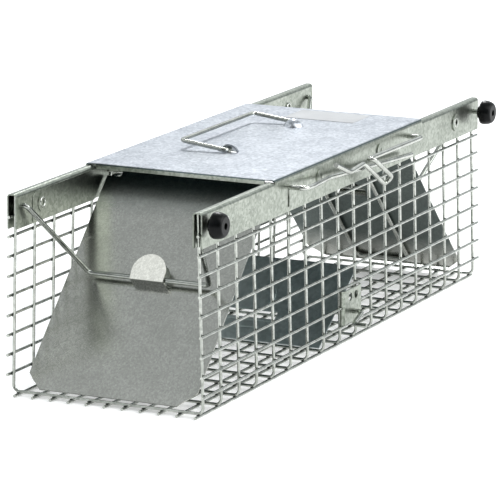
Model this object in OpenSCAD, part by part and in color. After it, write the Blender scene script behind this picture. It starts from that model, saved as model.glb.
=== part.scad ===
// Live catch trap: a welded wire cage under a folded sheet cover, with a
// swing door at each end, a lock bar over each door, a trip pan and its hook.
// X runs along the cage, Y across it and Z up. Lengths are in millimetres.

/* [Cage mesh] */
// Diameter of the mesh wires
wire_d = 2.0; // [1.6:0.1:2.6]
// Distance between upright wires along the cage
cell_len = 25.4; // [22:0.2:31]
// Distance between the long wires
cell_h = 12.7; // [11:0.1:14]
// Number of cells along the cage
cells = 17; // [17]
// Number of cells across the floor
floor_cells = 10; // [10]
// Length of wire standing past the end wires
stub = 5.0; // [2:0.5:6]
// Distance from the middle to the upright wires at the floor
side_y = 66.9; // [62:0.1:80]
// Lean of the side walls towards the middle
lean = 1.46; // [0.8:0.02:1.6]
// Bend radius between floor and side
floor_bend = 4.0; // [3:0.5:6]
// Height of the lowest long wire on a side
row_low = 14.2; // [12:0.1:16]
// Number of long wires on a side
rows = 9; // [8:1:11]

/* [Cover] */
// Height of the cover's top face over the highest long wire
cover_over = 16.2; // [14:0.2:20]
// Distance from the middle to the cover panel's front end
panel_front = 115.5; // [110:0.5:130]
// Distance from the middle to the cover panel's rear end
panel_rear = 119; // [110:0.5:130]
// Depth of the side flanges
flange_h = 24; // [20:1:26]
// Thickness of the sheet
sheet_t = 0.9; // [0.7:0.1:1.2]
// Bend radius along the panel's sides
panel_bend = 2.6; // [1.6:0.2:4]
// Width of a rail channel past the panel
rail_w = 6.6; // [6.4:0.1:8]
// Depth of the rails' tops under the panel's top
rail_drop = 1.6; // [1:0.1:3]
// Distance from the middle to the front eyelet
eyelet_front = 186; // [180:0.5:186]
// Distance from the middle to the rear eyelet
eyelet_rear = 178; // [170:0.5:186]
// Depth of the lip at the panel's ends
lip_h = 3.6; // [2.5:0.1:4.5]

/* [Doors] */
// Distance from the middle of the cage to a door's hinge
hinge_x = 95.5; // [90:0.1:105]
// Depth of the hinges under the cover's top face
hinge_drop = 8; // [7.4:0.1:12]
// Gap between a door's edge and the side wires at their narrowest
door_gap = 3.2; // [2:0.1:6]
// Thickness of a door
door_t = 0.8; // [0.6:0.1:1.0]
// Gap left between a closed door's edge and the end wire
door_rest = 0.5; // [0.4:0.1:1.0]
// Size of the cut across a door's lower corners
door_chamfer = 11; // [6:1:14]
// Diameter of the hinge and arm wires
rod_d = 3.2; // [2.8:0.1:3.6]
// Radial clearance of a shaft in its hole
run_gap = 0.08; // [0.04:0.01:0.1]
// Width of a hinge knuckle
knuckle_w = 18; // [8:1:20]
// Width of the notch at a door's upper corners
notch_w = 10; // [6:1:14]

/* [Lock bars] */
// Depth of the lock bar pivots under the cover's top face
lock_drop = 10.2; // [8:0.1:13]
// Distance from a rail's end to a lock bar's pivot
lock_inset = 8.4; // [7:0.1:12]
// Distance that the cross bar's ends stand in from the pivots
lock_inward = 15.9; // [12:0.1:24]
// Gap between the cross bar and the closed door
lock_gap = 2.8; // [2.6:0.1:3.4]
// Diameter of a knob at its base
knob_d = 17; // [14:0.5:18]
// Length of a knob
knob_len = 8.5; // [8:0.5:14]
// Gap between the rail and the front knob
front_knob_gap = 3.5; // [2.5:0.5:6]
// Gap between the rail and the rear knob
rear_knob_gap = 6.5; // [2.5:0.5:8]

/* [Pan] */
// Length of the trip pan
pan_len = 74; // [60:1:74]
// Gap between the pan's ends and the side wires
pan_gap = 4.7; // [3:0.1:8]
// Tilt of the pan after the trap has closed
pan_tilt = 35.5; // [30:0.5:36]
// Height of the pan's axle
axle_z = 22.6; // [22.6:0.1:28]
// Thickness of the pan
pan_t = 0.8; // [0.6:0.1:1]

/* [Handle] */
// Diameter of the handle wire
handle_d = 2.8; // [2.4:0.1:3.4]
// Length of the handle's grip
grip_len = 109; // [90:1:120]
// Length of the handle's legs
leg_len = 33; // [28:1:40]
// Distance from the middle of the cover to the middle of the handle
handle_x = 6.5; // [-10:0.5:10]

/* [Hidden] */
$fn = 48;

// gap kept where pieces of one body touch
touch = 0.02;
// overshoot of a cut
cut = 1;
// a wire's straight parts reach this far into its bends, which are this much thicker
lap = 0.05;
swell = 0.02;

// cage
end_x = cells * cell_len / 2;
long_z = wire_d / 2;
cross_z = long_z + wire_d + touch;
function wall_y(z) = side_y - z * tan(lean);
cover_z = row_low + (rows - 1) * cell_h + cover_over;
upright_top = cover_z - rail_drop - sheet_t - 0.6;
row_out = wire_d + touch;
row_face_y = wall_y(row_low) + row_out + wire_d / 2;

// cover
half_w = wall_y(row_low + (rows - 1) * cell_h) + row_out + wire_d / 2 + sheet_t + 0.1;
flange_z = cover_z - flange_h;
rail_top = cover_z - rail_drop;
rail_end = end_x + 3.1;
rail_inner = half_w - rail_w;

// doors
hinge_z = cover_z - hinge_drop;
door_w = 2 * (wall_y(upright_top) - wire_d / 2 - door_gap);
fall = hinge_z - cross_z;
reach = end_x - hinge_x;
door_angle = atan(fall / reach);
plate_n = rod_d / 2 + run_gap + door_t / 2;
end_gap = wire_d / 2 + door_rest + door_t / 2;
door_len = sqrt(fall * fall + reach * reach) - end_gap;
notch_s = 6;
top_s = 0.4;
knuckle_y = door_w / 2 - notch_w - 3 - knuckle_w / 2;
leg_y = 20.5;
leg_s = door_len - 8;
bore_d = rod_d + 2 * run_gap;
rod_end = 71.5;
rail_gap = 0.3;
slot_w = 2.6;
slot_len = 13;

// arms outside the right side of the cage
front_arm_y = half_w + 5.5;
front_arm_out = front_arm_y + 6.5;
rear_arm_y = half_w + 10.2;
finger_y = rear_arm_y + 0.4;
loop_y = rear_arm_y + 4.4;
arm_bend = 4;

// lock bars
lock_z = cover_z - lock_drop;
lock_x = rail_end - lock_inset;
lock_n = plate_n + door_t / 2 + lock_gap + rod_d / 2;
// place along the door that is nearest to the pivot
lock_s = (lock_x - hinge_x) * cos(door_angle) + (hinge_z - lock_z) * sin(door_angle);
lock_bend = 2.6;
lock_elbow = rail_inner - lock_bend;
lock_cross = lock_elbow - lock_inward;

// pan
pan_w = 2 * (wall_y(axle_z + pan_len / 2 * sin(pan_tilt)) - wire_d / 2 - pan_gap);
pan_n = rod_d / 2 + run_gap + pan_t / 2;
plate_face = row_face_y + 0.1;
plate_out = plate_face + sheet_t;
lever_y = plate_out + 6.8;
hook_end = lever_y + 9.5;
axle_end = plate_out + 3;
trigger_w = 30;
trigger_top = row_low + 2 * cell_h - wire_d / 2 - 0.3;
trigger_low = row_low + wire_d / 2 + 0.3;

// handle
handle_z = cover_z + handle_d / 2 + 0.3;
handle_lift = 7;
pin_len = 6.8;
dome_r = 7.5;
dome_z = cover_z + 5 - dome_r;

// the origin is under the middle of the whole object
middle_y = (hook_end - axle_end) / 2;

// vectors
function unit(v) = v / norm(v);
function door_point(s, y, n) = [
  hinge_x + s * cos(door_angle) + n * sin(door_angle), y,
  hinge_z - s * sin(door_angle) + n * cos(door_angle)];
function flip_x(points) = [for (p = points) [-p[0], p[1], p[2]]];

// straight round bar from a to b
module bar(a, b, d) {
  v = b - a;
  length = norm(v);
  translate(a)
    rotate([0, acos(v[2] / length), atan2(v[1], v[0])])
      cylinder(h = length, d = d);
}

// wire through the points p with a bend of radius r[i] at inner point i
module bent_wire(p, r, d) {
  v = unit(p[1] - p[0]);
  b = acos(v[2]);
  c = atan2(v[1], v[0]);
  translate(p[0])
    rotate([0, b, c])
      wire_from(p, r, d, 0, 0, [cos(c) * cos(b), sin(c) * cos(b), -sin(b)]);
}

// rest of a wire from point i on, set out along Z with the frame's own x as given
module wire_from(p, r, d, i, start, x) {
  u = unit(p[i + 1] - p[i]);
  length = norm(p[i + 1] - p[i]) - start;
  last = i + 2 == len(p);
  v = last ? u : unit(p[i + 2] - p[i + 1]);
  turn = last ? 0 : acos(u * v);
  back = last ? -lap : r[i] * tan(turn / 2);
  translate([0, 0, i == 0 ? 0 : -lap])
    cylinder(h = length - back + (i == 0 ? lap : 2 * lap) - (last ? 2 * lap : 0), d = d);
  if (!last) {
    aside = unit(v - (v * u) * u);
    translate([0, 0, length - back])
      rotate([0, 0, atan2(aside * cross(u, x), aside * x)])
        translate([r[i], 0, 0]) {
          rotate([-90, 180, 0])
            rotate_extrude(angle = turn) translate([r[i], 0]) circle(d = d + swell);
          rotate([0, turn, 0])
            translate([-r[i], 0, 0])
              wire_from(p, r, d, i + 1, back, aside * cos(turn) - u * sin(turn));
        }
  }
}

// lays a shape drawn with x down the door, y across and z outwards
module on_rear_door() {
  translate([hinge_x, 0, hinge_z]) rotate([0, door_angle, 0]) children();
}

module on_front_door() {
  mirror([1, 0, 0]) on_rear_door() children();
}

// washer that is pressed on a wire's end, along +Y
module retainer(d) {
  rotate([-90, 0, 0])
    difference() {
      cylinder(h = 1.2, d = 8);
      translate([0, 0, -cut]) cylinder(h = 1.2 + 2 * cut, d = d + 2 * touch);
    }
}

// Cage -----------------------------------------------------------------

module floor_mesh() {
  color("gainsboro") {
    for (i = [0 : cells])
      bar([i * cell_len - end_x, -cross_end, cross_z], [i * cell_len - end_x, cross_end, cross_z], wire_d);
    for (j = [0 : floor_cells])
      bar([-end_x - stub, (j - floor_cells / 2) * cell_h, long_z],
          [end_x + stub, (j - floor_cells / 2) * cell_h, long_z], wire_d);
  }
}

// the cross wires stop where the bend up to the side begins
bend_y = wall_y(cross_z);
cross_end = bend_y - floor_bend * tan((90 + lean) / 2) - 1 - touch;

// side wall standing at +Y
module side_wall() {
  color("gainsboro") {
    for (i = [0 : cells]) {
      x = i * cell_len - end_x;
      bent_wire([[x, cross_end + touch, cross_z], [x, bend_y, cross_z],
                 [x, wall_y(upright_top), upright_top]], [floor_bend], wire_d);
    }
    for (k = [0 : rows - 1]) {
      z = row_low + k * cell_h;
      bar([-end_x - stub, wall_y(z) + row_out, z], [end_x + stub, wall_y(z) + row_out, z], wire_d);
    }
  }
}

module side_mesh_left() {
  side_wall();
}

module side_mesh_right() {
  mirror([0, 1, 0]) side_wall();
}

// Cover ----------------------------------------------------------------

// upside-down U with rounded shoulders, its top at y = 0
module shoulder(w, h, r) {
  translate([-w / 2, -h]) square([w, h - r]);
  translate([-w / 2 + r, -r - touch]) square([w - 2 * r, r + touch]);
  for (s = [-1, 1])
    translate([s * (w / 2 - r), -r]) circle(r = r);
}

module channel(w, h, r) {
  difference() {
    shoulder(w, h, r);
    translate([0, -sheet_t])
      shoulder(w - 2 * sheet_t, h + cut, r - sheet_t);
  }
}

module along_x(x0, x1) {
  translate([x0, 0, 0]) rotate([90, 0, 90]) linear_extrude(height = x1 - x0) children();
}

// half ball that reaches from its flat side at x = front towards -X
module half_ball(r, front) {
  translate([0, 0, dome_z])
    intersection() {
      sphere(r = r);
      translate([-r, -r, -r]) cube([r + front, 2 * r, 2 * r]);
    }
}

// half-moon clinch on the outer face of a rail at +Y
module clinch() {
  rotate([-90, 0, 0])
    intersection() {
      translate([0, 0, -sheet_t / 2]) cylinder(h = sheet_t / 2 + 0.7, d = 11);
      translate([-6, -6, -sheet_t]) cube([4.5, 12, 3]);
    }
}

module rail_hole(x, z, d) {
  translate([x, 0, z]) rotate([90, 0, 0]) cylinder(h = 2 * half_w + 2 * cut, d = d, center = true);
}

module top_cover() {
  clinch_z = flange_z + 14;
  color("whitesmoke")
    difference() {
      union() {
        translate([0, 0, cover_z])
          along_x(-panel_front, panel_rear) channel(2 * half_w, flange_h, panel_bend);
        for (s = [-1, 1], t = [-1, 1])
          translate([0, t * (half_w - rail_w / 2), rail_top])
            along_x(s > 0 ? panel_rear : -rail_end, s > 0 ? rail_end : -panel_front)
              channel(rail_w, flange_h - rail_drop, 2.2);
        for (s = [-1, 1])
          translate([s > 0 ? panel_rear - sheet_t / 2 : sheet_t / 2 - panel_front, 0,
                     cover_z - lip_h / 2 - sheet_t / 2])
            cube([sheet_t, 2 * rail_inner - 2, lip_h - sheet_t], center = true);
        // domes that hold the handle's pins, cut to the cover's own face below
        for (s = [-1, 1])
          translate([handle_x + s * (grip_len / 2 - 4), 0, 0]) mirror([s < 0 ? 1 : 0, 0, 0])
            intersection() {
              half_ball(dome_r, 0);
              translate([-dome_r, -dome_r, cover_z - sheet_t / 2]) cube([2 * dome_r, 2 * dome_r, dome_r]);
            }
        for (x = [-48, 48])
          translate([x, half_w, clinch_z]) clinch();
        for (x = [-48, 48])
          translate([x, -half_w, clinch_z]) mirror([0, 1, 0]) clinch();
      }
      for (s = [-1, 1]) {
        rail_hole(s * hinge_x, hinge_z, bore_d);
        rail_hole(s * lock_x, lock_z, bore_d);
        translate([s > 0 ? eyelet_rear : -eyelet_front, -s * half_w, eyelet_z]) rotate([90, 0, 0])
          cylinder(h = 4 * rail_w, d = eyelet_d + 2 * touch, center = true);
        translate([s * hinge_x, s * half_w, hinge_z - slot_len / 2])
          cube([slot_w, 2 * sheet_t + 2 * cut, slot_len], center = true);
      }
      for (s = [-1, 1])
        translate([handle_x + s * (grip_len / 2 - 4), 0, 0]) mirror([s < 0 ? 1 : 0, 0, 0])
          half_ball(dome_r - sheet_t, 1);
      for (x = [-48, 48])
        translate([x + 2, 0, clinch_z]) cube([1.4, 2 * half_w + 2 * cut, 3.6], center = true);
    }
}

// Eyelets that pinch the rails together near two of their ends
eyelet_z = flange_z + 11.5;
eyelet_d = 4.8;

module rail_eyelets() {
  color("silver")
    for (s = [-1, 1])
      translate([s > 0 ? eyelet_rear : -eyelet_front, -s * (half_w - rail_w / 2), eyelet_z])
        rotate([90, 0, 0])
          difference() {
            union() {
              cylinder(h = rail_w + 1.2, d = eyelet_d, center = true);
              for (t = [-1, 1])
                translate([0, 0, t * (rail_w / 2 + 0.4 + touch)]) cylinder(h = 0.8, d = 12, center = true);
            }
            cylinder(h = rail_w + 4, d = eyelet_d - 1.4, center = true);
          }
}

module cover_label() {
  color("white")
    translate([98, -6, cover_z + 0.1 + touch]) cube([30, 52, 0.2], center = true);
}

// Handle ---------------------------------------------------------------

module carry_handle() {
  out_y = leg_len * cos(handle_lift);
  out_z = handle_z + leg_len * sin(handle_lift);
  x0 = handle_x - grip_len / 2;
  x1 = handle_x + grip_len / 2;
  color("slategray")
    bent_wire([[x0 + pin_len, 0, handle_z], [x0, 0, handle_z], [x0, out_y, out_z],
               [x1, out_y, out_z], [x1, 0, handle_z], [x1 - pin_len, 0, handle_z]],
              [2.6, 3.5, 3.5, 2.6], handle_d);
}

// Pan ------------------------------------------------------------------

module trigger_plate() {
  w = trigger_w;
  h = trigger_top - trigger_low;
  hole_d = 5.5;
  hole_z = axle_z + 10.6;
  color("gainsboro")
    difference() {
      union() {
        translate([-w / 2 + 2, -plate_out, trigger_low]) cube([w - 4, sheet_t, h]);
        for (s = [-1, 1])
          translate([s * (w / 2 - 2), -plate_out, trigger_low])
            mirror([s < 0 ? 1 : 0, 0, 0])
              linear_extrude(height = h)
                polygon([[-0.1, 0], [0, 0], [2, 1.6], [2, 2.6], [1.2, 2.6], [1.2, 1.9], [0, sheet_t], [-0.1, sheet_t]]);
      }
      translate([0, -plate_out + sheet_t / 2, axle_z]) rotate([90, 0, 0])
        cylinder(h = 3, d = bore_d, center = true);
      for (s = [-1, 1])
        translate([s * 4.6, -plate_out + sheet_t / 2, hole_z]) rotate([90, 0, 0])
          cylinder(h = 3, d = hole_d, center = true);
      // clearance for the long wire behind the plate's folded edges
      bar([-w, -(wall_y(row_low + cell_h) + row_out), row_low + cell_h],
          [w, -(wall_y(row_low + cell_h) + row_out), row_low + cell_h], wire_d + 2 * touch + 0.4);
    }
}

module pan_bracket() {
  color("gainsboro")
    difference() {
      translate([-11, plate_face, trigger_low]) cube([22, sheet_t, trigger_top - trigger_low]);
      translate([0, plate_face + sheet_t / 2, axle_z]) rotate([90, 0, 0])
        cylinder(h = 3, d = bore_d, center = true);
    }
}

// lays a shape drawn flat on the tilted pan, its axle at the origin
module on_pan() {
  translate([0, 0, axle_z]) rotate([0, -pan_tilt, 0]) children();
}

module trip_pan() {
  tab_x = 4.5;
  slot_y = 40;
  tab_y = pan_w / 2 - 7;
  color("dimgray")
    on_pan()
      difference() {
        union() {
          translate([0, 0, pan_n]) cube([pan_len, pan_w, pan_t], center = true);
          // disc pressed up in the middle
          translate([3, 0, pan_n]) cylinder(h = pan_t / 2 + 0.6, d = 26);
          // stiffening beads beside the slot
          for (x = [-19, -25.5])
            bar([x, -slot_y / 2, pan_n - 0.2], [x, slot_y / 2, pan_n - 0.2], 2.2);
          // clips that hold the axle under the pan
          for (s = [-1, 1])
            translate([0, s * tab_y, 0]) rotate([90, 0, 0])
              difference() {
                cylinder(h = 8, d = bore_d + 1.6, center = true);
                cylinder(h = 8 + cut, d = bore_d, center = true);
              }
        }
        translate([-13.8, 0, pan_n]) cube([7, slot_y, 4], center = true);
        translate([3, 0, pan_n - pan_t]) cylinder(h = pan_t + 0.5, d = 24.2);
      }
}

module pan_axle() {
  color("silver")
    bent_wire([[0, axle_end, axle_z], [0, -lever_y, axle_z],
               [-14.5, -lever_y, axle_z - 5.4], [-14.5, -hook_end, axle_z - 5.4]],
              [2.6, 2.6], rod_d);
}

module pan_axle_retainer() {
  color("silver") translate([0, plate_out + rail_gap, axle_z]) retainer(rod_d);
}

// Doors ----------------------------------------------------------------

// half-round tongue along -x
module tongue(w, length, t) {
  shoulder_in = 0.2;
  translate([w / 2 - length, shoulder_in - w / 2, 0]) cube([length - w / 2, w - 2 * shoulder_in, t]);
  translate([w / 2 - length, 0, 0])
    intersection() {
      cylinder(h = t, d = w);
      translate([-w, -w, -cut]) cube([w + 3, 2 * w, t + 2 * cut]);
    }
}

// door plate, knuckles and hook tab in the door's own directions
module door_plate() {
  w = door_w;
  tab_w = 24;
  tab_s = lock_s + rod_d / 2 + 0.3;
  tab_n = lock_n + rod_d / 2 + 0.4;
  tab_len = 18;
  color("darkgray")
    difference() {
      union() {
        translate([0, 0, plate_n - door_t / 2])
          linear_extrude(height = door_t)
            polygon([[notch_s, -w / 2], [door_len - door_chamfer, -w / 2], [door_len, -w / 2 + door_chamfer],
                     [door_len, w / 2 - door_chamfer], [door_len - door_chamfer, w / 2], [notch_s, w / 2],
                     [notch_s, w / 2 - notch_w], [top_s, w / 2 - notch_w],
                     [top_s, -w / 2 + notch_w], [notch_s, -w / 2 + notch_w]]);
        for (s = [-1, 1])
          translate([0, s * knuckle_y, 0]) rotate([90, 0, 0])
            cylinder(h = knuckle_w, d = bore_d + 2 * door_t + 0.3, center = true);
        // hook tab: out from the door, then up over the lock bar
        translate([tab_s, -tab_w / 2, plate_n]) cube([door_t, tab_w, tab_n - plate_n + door_t]);
        translate([tab_s + door_t, 0, tab_n])
          rotate([0, 10, 0])
            tongue(tab_w, tab_len, door_t);
      }
      for (s = [-1, 1])
        translate([0, s * knuckle_y, 0]) rotate([90, 0, 0])
          cylinder(h = knuckle_w + 2 * cut, d = bore_d, center = true);
      // opening that the tab was bent out of
      translate([tab_s - 0.2, 0, plate_n - cut])
        tongue(tab_w - 1, tab_len - 1, 2 * cut);
    }
}

module front_door() {
  on_front_door() door_plate();
}

module rear_door() {
  on_rear_door() door_plate();
}

// hinge line and the U that lies against the inside of the door
hinge_u = [
  door_point(0, rod_end, 0), door_point(0, leg_y, 0), door_point(leg_s, leg_y, 0),
  door_point(leg_s, -leg_y, 0), door_point(0, -leg_y, 0)];
hinge_u_bends = [4, 5, 5, 4];

module front_door_rod() {
  color("silver")
    bent_wire(concat(flip_x(hinge_u),
        [[-hinge_x, -front_arm_out, hinge_z], [-hinge_x + 13, -front_arm_out, hinge_z - 0.4],
         [-45, -front_arm_y, hinge_z - 2.6], [88, -front_arm_y, hinge_z - 11]]),
      concat(hinge_u_bends, [arm_bend, 12, 20]), rod_d);
}

module rear_door_rod() {
  color("silver")
    bent_wire(concat(hinge_u,
        [[hinge_x, -rear_arm_y, hinge_z], [6, -rear_arm_y, hinge_z + 0.9], [6, -loop_y, hinge_z + 0.9],
         [35, -loop_y, hinge_z - 16], [31.5, -finger_y, hinge_z - 20.5], [-2, -finger_y, hinge_z - 0.6],
         [-24, -finger_y, hinge_z - 2.6], [-46, -finger_y, hinge_z + 6]]),
      concat(hinge_u_bends, [arm_bend, 2, 2, 2.6, 2.6, 10, 14]), rod_d);
}

module front_rod_retainer() {
  color("silver") translate([-hinge_x, half_w + rail_gap, hinge_z]) retainer(rod_d);
}

module rear_rod_retainer() {
  color("silver") translate([hinge_x, half_w + rail_gap, hinge_z]) retainer(rod_d);
}

// Lock bars ------------------------------------------------------------

cross_bar = door_point(lock_s, 0, lock_n);

module lock_bar(knob_y) {
  color("slategray")
    bent_wire([[lock_x, rod_end, lock_z], [lock_x, lock_elbow, lock_z],
               [cross_bar[0], lock_cross, cross_bar[2]], [cross_bar[0], -lock_cross, cross_bar[2]],
               [lock_x, -lock_elbow, lock_z], [lock_x, -knob_y - knob_len + 2.5, lock_z]],
              [lock_bend, 4, 4, lock_bend], rod_d);
}

module lock_knob(knob_y) {
  bore = rod_d + 2 * touch;
  tip_r = 5.6;
  base_r = knob_d / 2;
  color("black")
    translate([lock_x, -knob_y, lock_z]) rotate([90, 0, 0])
      difference() {
        union() {
          translate([0, 0, -2]) cylinder(h = 2.2, d = 9);
          rotate_extrude()
            polygon(concat([[0, 0], [base_r - 1.6, 0], [base_r - 0.4, 0.5], [base_r, 1.6]],
              [for (a = [10 : 10 : 90])
                [tip_r + (base_r - tip_r) * cos(a), 1.6 + (knob_len - 1.6) * sin(a)]], [[0, knob_len]]));
        }
        translate([0, 0, -2 - cut]) cylinder(h = knob_len + 2 + 2 * cut, d = bore);
        translate([0, 0, knob_len - 2]) cylinder(h = 2 + cut, d = 4.4);
      }
}

module lock_retainer() {
  color("silver") translate([lock_x, half_w + rail_gap, lock_z]) retainer(rod_d);
}

module front_lock_bar() { mirror([1, 0, 0]) lock_bar(half_w + front_knob_gap); }
module front_lock_knob() { mirror([1, 0, 0]) lock_knob(half_w + front_knob_gap); }
module front_lock_retainer() { mirror([1, 0, 0]) lock_retainer(); }
module rear_lock_bar() { lock_bar(half_w + rear_knob_gap); }
module rear_lock_knob() { lock_knob(half_w + rear_knob_gap); }
module rear_lock_retainer() { lock_retainer(); }

module place() {
  translate([0, middle_y, 0]) children();
}

place() floor_mesh();
place() side_mesh_left();
place() side_mesh_right();
place() top_cover();
place() rail_eyelets();
place() cover_label();
place() carry_handle();
place() trigger_plate();
place() pan_bracket();
place() trip_pan();
place() pan_axle();
place() pan_axle_retainer();
place() front_door();
place() front_door_rod();
place() front_rod_retainer();
place() front_lock_bar();
place() front_lock_knob();
place() front_lock_retainer();
place() rear_door();
place() rear_door_rod();
place() rear_rod_retainer();
place() rear_lock_bar();
place() rear_lock_knob();
place() rear_lock_retainer();
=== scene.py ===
import math
import bpy
import bmesh
from mathutils import Matrix, Vector


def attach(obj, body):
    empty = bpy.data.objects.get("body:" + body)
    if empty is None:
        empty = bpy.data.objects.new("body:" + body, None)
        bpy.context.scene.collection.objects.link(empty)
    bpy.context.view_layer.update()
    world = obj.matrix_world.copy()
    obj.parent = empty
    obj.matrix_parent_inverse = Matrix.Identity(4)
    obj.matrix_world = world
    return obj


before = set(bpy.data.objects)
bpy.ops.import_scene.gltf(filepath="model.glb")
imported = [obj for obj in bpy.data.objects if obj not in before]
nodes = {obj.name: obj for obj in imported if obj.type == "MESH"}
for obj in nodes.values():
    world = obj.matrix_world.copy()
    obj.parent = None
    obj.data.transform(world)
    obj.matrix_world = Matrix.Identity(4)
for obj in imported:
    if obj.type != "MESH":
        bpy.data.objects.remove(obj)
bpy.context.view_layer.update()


# ---- Cover ------------------------------------------------------------------
# One folded sheet of zinc-coated steel: a flat panel, and two long rails that
# hold the tops of the side walls. Hot-dip zinc freezes into flat grains, each
# with its own grey and its own shine.

def linear(hex_colour):
    """Linear RGBA of an sRGB colour given as six hex digits."""
    parts = [int(hex_colour[i:i + 2], 16) / 255 for i in (0, 2, 4)]
    return tuple(c / 12.92 if c <= 0.04045 else ((c + 0.055) / 1.055) ** 2.4 for c in parts) + (1.0,)


def add(material, kind, settings=None, **links):
    """Adds a node, sets its values and links its inputs from other nodes' outputs."""
    tree = material.node_tree
    item = tree.nodes.new(kind)
    for key, value in (settings or {}).items():
        if key in item.inputs:
            item.inputs[key].default_value = value
        else:
            setattr(item, key, value)
    for key, (source, output) in links.items():
        name = key.replace("_", " ")
        target = item.inputs[int(name[6:])] if name.startswith("input ") else item.inputs[name]
        tree.links.new(source.outputs[output], target)
    return item


def blank(material):
    """Turns on a new material's or world's nodes and empties them."""
    material.use_nodes = True
    material.node_tree.nodes.clear()
    return material


def shades(ramp, stops):
    """Fills a colour ramp with (position, hex colour) stops."""
    band = ramp.color_ramp
    while len(band.elements) > len(stops):
        band.elements.remove(band.elements[-1])
    while len(band.elements) < len(stops):
        band.elements.new(1.0)
    for element, (place, colour) in zip(band.elements, stops):
        element.position = place
        element.color = linear(colour)


def zinc_sheet(name, tones, grain_mm, rough, spread, bump_mm, wave_mm=0.0, side=None, shade=None):
    """Zinc-coated sheet steel: frozen grains and rolling streaks over slow clouds, with a fine tooth.

    tones are the dark, middle and light greys. side is (direction, distance, dark, light, roughness): past
    that distance along that direction, the sheet has these other tones, which paint light and shade: a lighter
    top face on the cover (painted reflection) and darker inner faces on the doors (painted shade). shade is
    (low, high): between these heights, which take in the cover's underside, painted shade darkens it to a
    grey-blue. Both change over 0.2 mm.
    """
    change = 0.0001
    m = blank(bpy.data.materials.new(name))
    place = add(m, "ShaderNodeTexCoord")
    grains = add(m, "ShaderNodeTexVoronoi", {"Scale": 1000 / grain_mm, "Randomness": 1.0},
                 Vector=(place, "Object"))
    grain_shade = add(m, "ShaderNodeSeparateColor", Color=(grains, "Color"))
    clouds = add(m, "ShaderNodeTexNoise", {"Scale": 1000 / 22, "Detail": 5.0, "Roughness": 0.6},
                 Vector=(place, "Object"))
    drawn = add(m, "ShaderNodeMapping", {"Scale": (1000 / 1.5, 1000 / 1.5, 1000 / 5)}, Vector=(place, "Object"))
    streaks = add(m, "ShaderNodeTexNoise", {"Scale": 1.0, "Detail": 3.0, "Roughness": 0.6},
                  Vector=(drawn, "Vector"))
    fine = add(m, "ShaderNodeMix", {"Factor": 0.5, "data_type": "FLOAT"},
               input_2=(grain_shade, "Red"), input_3=(streaks, "Fac"))
    mixed = add(m, "ShaderNodeMix", {"Factor": 0.45, "data_type": "FLOAT"},
                input_2=(fine, "Result"), input_3=(clouds, "Fac"))
    colour = add(m, "ShaderNodeValToRGB", Fac=(mixed, "Result"))
    shades(colour, list(zip((0.3, 0.5, 0.7), tones)))
    tint = (colour, "Color")
    gloss = add(m, "ShaderNodeMapRange", {"From Min": 0.3, "From Max": 0.7,
                                          "To Min": rough - spread, "To Max": rough + spread},
                Value=(mixed, "Result"))
    dullness = (gloss, "Result")
    if side:
        direction, distance, side_dark, side_light, side_rough = side
        along = add(m, "ShaderNodeVectorMath", {"operation": "DOT_PRODUCT"}, input_0=(place, "Object"))
        along.inputs[1].default_value = direction
        past = add(m, "ShaderNodeMapRange", {"From Min": distance - change, "From Max": distance + change},
                   Value=(along, "Value"))
        # Painted light and shade: these tones make the cover's top face lighter (painted reflection) and the
        # doors' inner faces darker (painted shade).
        painted_light_and_shade_tones = add(m, "ShaderNodeValToRGB", Fac=(mixed, "Result"))
        shades(painted_light_and_shade_tones, [(0.3, side_dark), (0.7, side_light)])
        painted_light_and_shade_mix = add(m, "ShaderNodeMix", {"data_type": "RGBA"}, input_0=(past, "Result"),
                   input_6=(colour, "Color"), input_7=(painted_light_and_shade_tones, "Color"))
        tint = (painted_light_and_shade_mix, "Result")
        both_gloss = add(m, "ShaderNodeMapRange", {"To Min": rough, "To Max": side_rough}, Value=(past, "Result"))
        dullness = (both_gloss, "Result")
    if shade:
        low, high = shade
        height = add(m, "ShaderNodeSeparateXYZ", Vector=(place, "Object"))
        over = add(m, "ShaderNodeMapRange", {"From Min": low - change, "From Max": low + change},
                   Value=(height, "Z"))
        below = add(m, "ShaderNodeMapRange", {"From Min": high - change, "From Max": high + change,
                                              "To Min": 1.0, "To Max": 0.0}, Value=(height, "Z"))
        painted_shade_mask = add(m, "ShaderNodeMath", {"operation": "MULTIPLY"},
                    input_0=(over, "Result"), input_1=(below, "Result"))
        painted_underside_shade = add(m, "ShaderNodeMix", {"data_type": "RGBA"}, input_0=(painted_shade_mask, "Value"), input_6=tint)
        # Painted shade: the cover's underside is darkened to this grey-blue.
        painted_underside_shade.inputs[7].default_value = linear("4C5A5D")
        tint = (painted_underside_shade, "Result")
    tooth = add(m, "ShaderNodeTexNoise", {"Scale": 1000 / 1.3, "Detail": 3.0}, Vector=(place, "Object"))
    relief = add(m, "ShaderNodeMix", {"Factor": 0.35, "data_type": "FLOAT"},
                 input_2=(tooth, "Fac"), input_3=(grain_shade, "Green"))
    bump = add(m, "ShaderNodeBump", {"Strength": 0.5, "Distance": bump_mm / 1000}, Height=(relief, "Result"))
    surface = (bump, "Normal")
    if wave_mm:
        swell = add(m, "ShaderNodeTexNoise", {"Scale": 1000 / 70, "Detail": 1.0}, Vector=(place, "Object"))
        buckle = add(m, "ShaderNodeBump", {"Strength": 1.0, "Distance": wave_mm / 1000},
                     Height=(swell, "Fac"), Normal=(bump, "Normal"))
        surface = (buckle, "Normal")
    shader = add(m, "ShaderNodeBsdfPrincipled", {"Metallic": 1.0},
                 Base_Color=tint, Roughness=dullness, Normal=surface)
    add(m, "ShaderNodeOutputMaterial", Surface=(shader, "BSDF"))
    return m


def finish_node(name, material):
    """Gives a carried-over piece of the frame its material."""
    piece = nodes[name]
    piece.data.materials.clear()
    piece.data.materials.append(material)


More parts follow.
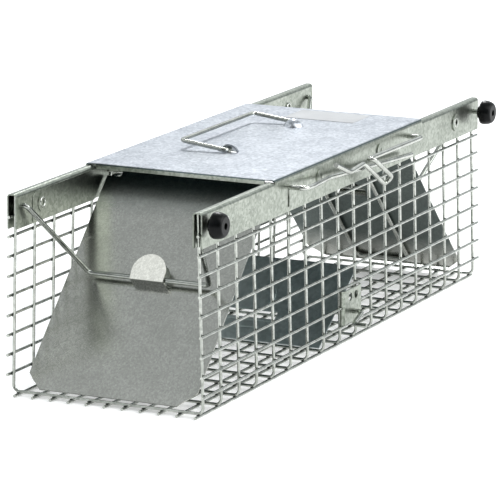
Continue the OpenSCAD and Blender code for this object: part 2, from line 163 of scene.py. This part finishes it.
# The side tones paint the cover's top face lighter and bluer than its rails, a painted reflection; the shade band
# paints painted shade on its underside.
cover_zinc = zinc_sheet("galvanised_steel_hot_dipped", ("787E75", "90968C", "A8ADA4"), 1.7, 0.3, 0.06, 0.03, 0.25,
                        side=((0, 0, 1), 0.1316, "979DA5", "D2D6DC", 0.3), shade=(0.1308, 0.1315))
for name in ("top_cover", "rail_eyelets", "trigger_plate", "pan_bracket"):
    finish_node(name, cover_zinc)


# ---- Label ------------------------------------------------------------------
# A blank white film label stuck on the cover. Printed film is smooth, with a
# low even sheen and faint waves where it lies over the zinc.

film = blank(bpy.data.materials.new("vinyl_film_white"))
film_place = add(film, "ShaderNodeTexCoord")
film_waves = add(film, "ShaderNodeTexNoise", {"Scale": 1000 / 14, "Detail": 2.0}, Vector=(film_place, "Object"))
film_tone = add(film, "ShaderNodeValToRGB", Fac=(film_waves, "Fac"))
shades(film_tone, [(0.3, "A8AAAC"), (0.7, "B4B6B8")])
film_bump = add(film, "ShaderNodeBump", {"Strength": 0.3, "Distance": 0.0001}, Height=(film_waves, "Fac"))
film_gloss = add(film, "ShaderNodeMapRange", {"To Min": 0.38, "To Max": 0.5}, Value=(film_waves, "Fac"))
film_shader = add(film, "ShaderNodeBsdfPrincipled", {"IOR": 1.5}, Base_Color=(film_tone, "Color"),
                  Roughness=(film_gloss, "Result"), Normal=(film_bump, "Normal"))
add(film, "ShaderNodeOutputMaterial", Surface=(film_shader, "BSDF"))
finish_node("cover_label", film)


# ---- Cage mesh --------------------------------------------------------------
# Straight drawn wires, spot welded at each crossing and then dipped in zinc,
# which leaves a thin uneven skin.

def wire_steel(name, dark, light, rough, spread, bump_mm, fleck_mm):
    """Drawn steel wire with a thin uneven skin of zinc."""
    m = blank(bpy.data.materials.new(name))
    place = add(m, "ShaderNodeTexCoord")
    skin = add(m, "ShaderNodeTexNoise", {"Scale": 1000 / fleck_mm, "Detail": 5.0, "Roughness": 0.65},
               Vector=(place, "Object"))
    colour = add(m, "ShaderNodeValToRGB", Fac=(skin, "Fac"))
    shades(colour, [(0.32, dark), (0.68, light)])
    gloss = add(m, "ShaderNodeMapRange", {"From Min": 0.3, "From Max": 0.7,
                                          "To Min": rough - spread, "To Max": rough + spread}, Value=(skin, "Fac"))
    grit = add(m, "ShaderNodeTexNoise", {"Scale": 1000 / 0.8, "Detail": 2.0}, Vector=(place, "Object"))
    bump = add(m, "ShaderNodeBump", {"Strength": 0.4, "Distance": bump_mm / 1000}, Height=(grit, "Fac"))
    shader = add(m, "ShaderNodeBsdfPrincipled", {"Metallic": 1.0},
                 Base_Color=(colour, "Color"), Roughness=(gloss, "Result"), Normal=(bump, "Normal"))
    add(m, "ShaderNodeOutputMaterial", Surface=(shader, "BSDF"))
    return m


mesh_wire = wire_steel("galvanised_wire_welded", "8E928C", "C6C9C3", 0.15, 0.05, 0.02, 5)
for name in ("floor_mesh", "side_mesh_left", "side_mesh_right"):
    finish_node(name, mesh_wire)


# ---- Welds ------------------------------------------------------------------
# Where two wires cross, the spot weld squeezes out a small nugget. The nuggets
# are painted near black, painted shade where the wires cross.

def cage_piece(name, mesh, material):
    """Puts a finished mesh in the scene as a smooth piece that stands with the cage."""
    bmesh.ops.recalc_face_normals(mesh, faces=mesh.faces)
    for face in mesh.faces:
        face.smooth = True
    data = bpy.data.meshes.new(name)
    mesh.to_mesh(data)
    mesh.free()
    data.materials.append(material)
    piece = bpy.data.objects.new(name, data)
    bpy.context.collection.objects.link(piece)
    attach(piece, "cage")
    return piece


CAGE_Y = 0.00665                        # the middle of the cage
LEAN = math.tan(math.radians(1.46))     # how much a side wall leans in for each metre of height
CELL_H = 0.0127
SIDE_Y = 0.0669 + 0.00101               # from the middle to where a side's wires cross, at the ground
LOW_ROW, ROWS = 0.0142, 9
FLOOR_WIRES, FLOOR_CROSS = 11, 0.00201
WELD, FLAT = 0.00125, 0.00075           # half a nugget's width, and half its height
# Painted shade: the nuggets' near-black tones stand in for the shade where wires cross.
weld_painted_shade = wire_steel("galvanised_weld_painted_shade", "242726", "565A57", 0.36, 0.1, 0.05, 2)
uprights = [(25.4 * i - 215.9) / 1000 for i in range(18)]
for name, side in (("floor_welds", 0), ("left_welds", 1), ("right_welds", -1)):
    spots = bmesh.new()
    for i, x in enumerate(uprights):
        for k in range(ROWS if side else FLOOR_WIRES):
            swell = 1.0 + 0.12 * math.sin(5.1 * i + 2.3 * k)
            if side:
                z = LOW_ROW + CELL_H * k
                at = Vector((x, CAGE_Y + side * (SIDE_Y - z * LEAN), z))
                size = (WELD * swell, FLAT, WELD)
            else:
                at = Vector((x, CAGE_Y + CELL_H * (k - FLOOR_WIRES // 2), FLOOR_CROSS))
                size = (WELD, WELD * swell, FLAT)
            bmesh.ops.create_icosphere(spots, subdivisions=2, radius=1.0,
                                       matrix=Matrix.Translation(at) @ Matrix.Diagonal((*size, 1.0)))
    cage_piece(name, spots, weld_painted_shade)


# ---- Eyelet rims ------------------------------------------------------------
# Each rail is clinched to its wall by hollow eyelets. The press rolls both
# ends of the tube over into a round rim that stands proud of the sheet.

rim_zinc = wire_steel("galvanised_eyelet_pressed", "A8ACA6", "D2D5CF", 0.2, 0.05, 0.02, 3)
EYELET_Z, RIM_RADIUS, RIM_THICK = 0.1195, 0.003, 0.00065
rims = bmesh.new()
for x in (-0.186, 0.178):
    for y in (-0.06825, -0.0609, 0.0609, 0.06825):
        circle = bmesh.ops.create_circle(rims, segments=16, radius=RIM_THICK, matrix=Matrix.Translation(
            (x + RIM_RADIUS, CAGE_Y + y, EYELET_Z)))
        bmesh.ops.spin(rims, geom=circle["verts"] + list({e for v in circle["verts"] for e in v.link_edges}),
                       cent=(x, CAGE_Y + y, EYELET_Z), axis=(0, 1, 0), angle=math.tau, steps=48)
bmesh.ops.remove_doubles(rims, verts=rims.verts, dist=0.00001)
cage_piece("eyelet_rims", rims, rim_zinc)


# ---- Rail lining ------------------------------------------------------------
# A thin strip of the same sheet lines the inner leg of the left rail in front
# of the cover. It stops short of the door rod, and its upper front corner is
# cut round.

BACK_END, FRONT_END, FOOT, CORNER = -0.0985, -0.1985, 0.1088, 0.006
CORNER_Z = 0.1222
outline = [(BACK_END, FOOT), (FRONT_END, FOOT)]
for i in range(13):
    turn = math.radians(180 - 7.5 * i)
    outline.append((FRONT_END + CORNER + CORNER * math.cos(turn), CORNER_Z + CORNER * math.sin(turn)))
outline.append((BACK_END, CORNER_Z + CORNER))
lining = bmesh.new()
sheet = lining.faces.new([lining.verts.new((x, CAGE_Y + 0.06135, z)) for x, z in outline])
lift = bmesh.ops.extrude_face_region(lining, geom=[sheet])
bmesh.ops.translate(lining, vec=(0, -0.0004, 0),
                    verts=[v for v in lift["geom"] if isinstance(v, bmesh.types.BMVert)])
strip = cage_piece("rail_lining", lining, cover_zinc)
for face in strip.data.polygons:
    face.use_smooth = False
edge = strip.modifiers.new("edge", "BEVEL")
edge.width = 0.00012
edge.segments = 2


# ---- Rods, lock bars and handle ---------------------------------------------
# Thicker drawn rod, bent cold and plated. The lock bars and the pan's axle are
# a little duller than the rest.

bright_rod = wire_steel("plated_steel_rod_drawn", "9EA19B", "C2C5BF", 0.22, 0.05, 0.015, 9)
dark_rod = wire_steel("plated_steel_rod_dull", "868A85", "AAAEA8", 0.2, 0.06, 0.015, 9)
for name in ("front_door_rod", "rear_door_rod", "front_rod_retainer", "rear_rod_retainer",
             "pan_axle_retainer", "front_lock_retainer", "rear_lock_retainer"):
    finish_node(name, bright_rod)
for name in ("front_lock_bar", "rear_lock_bar", "pan_axle"):
    finish_node(name, dark_rod)
finish_node("carry_handle", bright_rod)


# ---- Doors ------------------------------------------------------------------
# Plain zinc-coated sheet with a smooth, half-glossy rolled outer face and a
# rougher inner one, painted darker as painted shade for the inside of the cage.
# The sheet's middle plane parts the two looks; it is taken at 45.5 degrees, a
# third of a degree off the doors' own slope.

slope = math.radians(45.5)
for name, way in (("front_door", 1), ("rear_door", -1)):
    inward = Vector((way * math.sin(slope), 0, -math.cos(slope)))
    flat = [f for f in nodes[name].data.polygons if abs(f.normal.dot(inward)) > 0.99]
    depths = []
    for half in ([f for f in flat if f.normal.dot(inward) > 0], [f for f in flat if f.normal.dot(inward) < 0]):
        depths.append(sum(f.center.dot(inward) * f.area for f in half) / sum(f.area for f in half))
    # The side tones 58615F and 6E7774 are painted shade on the doors' inner faces.
    finish_node(name, zinc_sheet("electro_zinc_sheet_" + name, ("ADAEA8", "B8B9B3", "C6C7C1"),
                                 1.1, 0.2, 0.03, 0.035, 0.35,
                                 side=(inward, sum(depths) / 2, "58615F", "6E7774", 0.42)))


# ---- Trip pan ---------------------------------------------------------------
# The same kind of sheet, with a dull grey-blue finish and no waves.

pan_zinc = zinc_sheet("zinc_phosphate_sheet_dull", ("A3AEAD", "AFBAB9", "BBC6C5"), 2.0, 0.48, 0.06, 0.012)
finish_node("trip_pan", pan_zinc)


# ---- Knobs ------------------------------------------------------------------
# Moulded black rubber pressed on the ends of the lock bars. It is almost
# black, half glossy, with a very fine moulded tooth.

rubber = blank(bpy.data.materials.new("nitrile_rubber_moulded"))
rubber_place = add(rubber, "ShaderNodeTexCoord")
rubber_noise = add(rubber, "ShaderNodeTexNoise", {"Scale": 1000 / 3, "Detail": 4.0},
                   Vector=(rubber_place, "Object"))
rubber_tone = add(rubber, "ShaderNodeValToRGB", Fac=(rubber_noise, "Fac"))
shades(rubber_tone, [(0.3, "060707"), (0.7, "0E1011")])
rubber_gloss = add(rubber, "ShaderNodeMapRange", {"To Min": 0.24, "To Max": 0.36}, Value=(rubber_noise, "Fac"))
rubber_tooth = add(rubber, "ShaderNodeTexNoise", {"Scale": 1000 / 0.5, "Detail": 2.0},
                   Vector=(rubber_place, "Object"))
rubber_bump = add(rubber, "ShaderNodeBump", {"Strength": 0.3, "Distance": 0.00003}, Height=(rubber_tooth, "Fac"))
rubber_shader = add(rubber, "ShaderNodeBsdfPrincipled", {"IOR": 1.52, "Specular IOR Level": 0.12},
                    Base_Color=(rubber_tone, "Color"), Roughness=(rubber_gloss, "Result"),
                    Normal=(rubber_bump, "Normal"))
add(rubber, "ShaderNodeOutputMaterial", Surface=(rubber_shader, "BSDF"))
for name in ("front_lock_knob", "rear_lock_knob"):
    finish_node(name, rubber)


# ---- Studio -----------------------------------------------------------------
# A pale matt floor that glows a little, four soft lamps, and a grey room that
# is brightest half way up and darkest on the side the camera stands on.

floor_mesh = bmesh.new()
bmesh.ops.create_grid(floor_mesh, x_segments=1, y_segments=1, size=30)
floor_data = bpy.data.meshes.new("studio_floor")
floor_mesh.to_mesh(floor_data)
floor_mesh.free()
floor = bpy.data.objects.new("studio_floor", floor_data)
bpy.context.collection.objects.link(floor)
paper = blank(bpy.data.materials.new("paper_backdrop_matt"))
paper_place = add(paper, "ShaderNodeTexCoord")
paper_noise = add(paper, "ShaderNodeTexNoise", {"Scale": 3.0, "Detail": 2.0}, Vector=(paper_place, "Object"))
paper_tone = add(paper, "ShaderNodeValToRGB", Fac=(paper_noise, "Fac"))
shades(paper_tone, [(0.3, "F6F6F6"), (0.7, "FAFAFA")])
paper_shader = add(paper, "ShaderNodeBsdfPrincipled", {"Roughness": 0.9, "Emission Strength": 0.3,
                                                       "Emission Color": (1.0, 1.0, 1.0, 1.0)},
                   Base_Color=(paper_tone, "Color"))
add(paper, "ShaderNodeOutputMaterial", Surface=(paper_shader, "BSDF"))
floor_data.materials.append(paper)

world = blank(bpy.data.worlds.new("grey_room"))
bpy.context.scene.world = world
sky_way = add(world, "ShaderNodeTexCoord")
sky_height = add(world, "ShaderNodeSeparateXYZ", Vector=(sky_way, "Generated"))
sky_tone = add(world, "ShaderNodeValToRGB", Fac=(sky_height, "Z"))
shades(sky_tone, [(0.0, "84888C"), (0.25, "92969A"), (0.5, "E2E5E6"), (0.75, "A4A7A8"),
                  (1.0, "8E9294")])
sky_side = add(world, "ShaderNodeVectorMath", {"operation": "DOT_PRODUCT"}, input_0=(sky_way, "Generated"))
sky_side.inputs[1].default_value = (-0.87, -0.45, 0.2)
sky_strength = add(world, "ShaderNodeMapRange",
                   {"From Min": 0.35, "From Max": 0.9, "To Min": 1.75, "To Max": 0.12},
                   Value=(sky_side, "Value"))
sky = add(world, "ShaderNodeBackground", {}, Color=(sky_tone, "Color"), Strength=(sky_strength, "Result"))
add(world, "ShaderNodeOutputWorld", Surface=(sky, "Background"))

LAMP_AIM = Vector((0, 0, 0.06))
for name, way, away, size, power in (("soft_behind", (0.87, 0.38, 0.84), 2.4, 0.35, 19),
                                     ("soft_overhead", (-0.23, -0.43, 0.87), 1.9, 1.1, 7),
                                     ("soft_small", (-0.60, 0.39, 0.70), 1.9, 0.5, 0.9),
                                     ("soft_side", (0.15, -0.90, 0.50), 2.2, 2.0, 46)):
    lamp = bpy.data.lights.new(name, "AREA")
    lamp.size = size
    lamp.energy = power
    holder = bpy.data.objects.new(name, lamp)
    holder.location = Vector(way).normalized() * away + LAMP_AIM
    holder.rotation_euler = Vector(way).to_track_quat("Z", "Y").to_euler()
    bpy.context.collection.objects.link(holder)

lens = bpy.data.cameras.new("view")
lens.lens = 278.8
lens.sensor_width = 36
lens.clip_end = 100
eye = bpy.data.objects.new("view", lens)
eye.location = (-2.2815, -1.0974 + CAGE_Y, 0.6207)
turn, tilt = math.radians(-64.2), math.radians(12.55)
back = Vector((math.sin(turn) * math.cos(tilt), -math.cos(turn) * math.cos(tilt), math.sin(tilt)))
eye.rotation_euler = back.to_track_quat("Z", "Y").to_euler()
bpy.context.collection.objects.link(eye)
bpy.context.scene.camera = eye
bpy.context.scene.view_settings.view_transform = "Standard"
